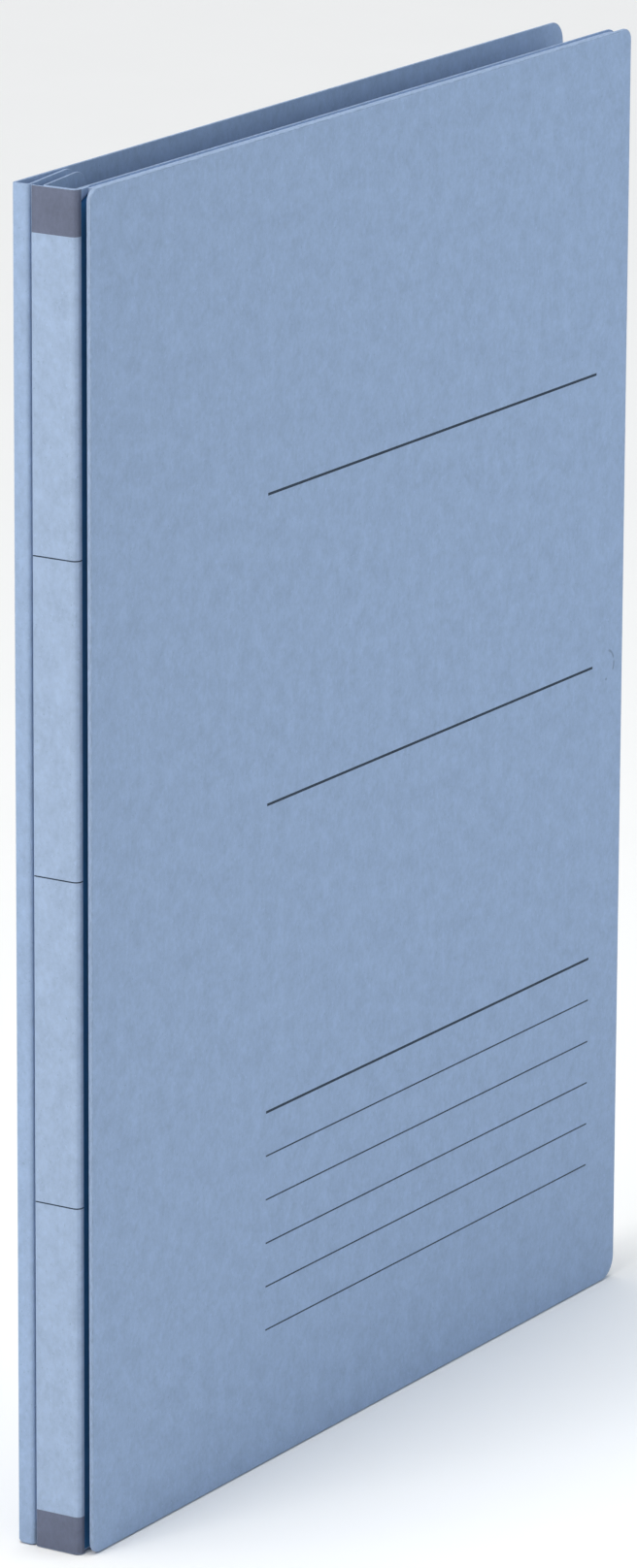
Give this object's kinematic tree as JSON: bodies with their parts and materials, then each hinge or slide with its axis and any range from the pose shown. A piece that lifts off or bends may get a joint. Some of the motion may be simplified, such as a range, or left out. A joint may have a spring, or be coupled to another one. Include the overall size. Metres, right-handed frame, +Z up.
{
  "type": "expanding spine file",
  "caption": "A4 card file with hinged covers, a spine that widens by a sliding sheet, and a two-strap paper fastener.",
  "frame": {"origin": "middle of the footprint, on the surface that the closed file stands on", "axes": "+Z up along the spine, +X from the spine to the fore edge, +Y from the front cover to the back cover"},
  "size_m": [0.232, 0.019, 0.307],
  "materials": {
    "cover_card": "matte recycled card, finely mottled",
    "label_card": "matte recycled card with printed lines and end bands",
    "sheet_card": "matte thin card",
    "fastener_plastic": "satin moulded polypropylene",
    "lock_plastic": "smooth moulded plastic"
  },
  "bodies": {
    "back_spine": {"back_spine_strip": "cover_card", "back_flap": "cover_card", "extension_sheet": "sheet_card", "fastener_base": "fastener_plastic", "upper_strap": "fastener_plastic", "lower_strap": "fastener_plastic"},
    "back_cover": {"back_cover": "cover_card"},
    "front_spine": {"front_spine_leg": "cover_card", "front_flap": "cover_card", "spine_label": "label_card"},
    "front_cover": {"front_cover_outer": "cover_card", "front_cover_inner": "cover_card", "pocket_seam_top": "cover_card", "pocket_seam_bottom": "cover_card", "pocket_seam_fore": "cover_card", "extension_tail": "sheet_card"},
    "upper_lock": {"upper_lock": "lock_plastic"},
    "lower_lock": {"lower_lock": "lock_plastic"},
    "press_bar": {"press_bar": "fastener_plastic"}
  },
  "joints": [
    {"name": "back_cover_hinge", "type": "hinge", "parent": "back_spine", "child": "back_cover", "pos_m": [-0.11475, 0.00955, 0.1535], "axis": [0, 0, 1], "range_deg": [0, 178]},
    {"name": "spine_expansion", "type": "slide", "parent": "back_spine", "child": "front_spine", "axis": [0, -1, 0], "range_m": [0, 0.1], "deforming": ["extension_sheet", "extension_tail", "upper_strap", "lower_strap"]},
    {"name": "front_cover_hinge", "type": "hinge", "parent": "front_spine", "child": "front_cover", "pos_m": [-0.1143, -0.0095, 0.1535], "axis": [0, 0, -1], "range_deg": [0, 178]},
    {"name": "press_bar_lift", "type": "slide", "parent": "front_spine", "child": "press_bar", "axis": [0.1392, -0.9903, 0], "range_m": [0, 0.0035]},
    {"name": "upper_lock_slide", "type": "slide", "parent": "press_bar", "child": "upper_lock", "axis": [0, 0, 1], "range_m": [-0.01, 0.075]},
    {"name": "lower_lock_slide", "type": "slide", "parent": "press_bar", "child": "lower_lock", "axis": [0, 0, -1], "range_m": [-0.01, 0.075]}
  ]
}
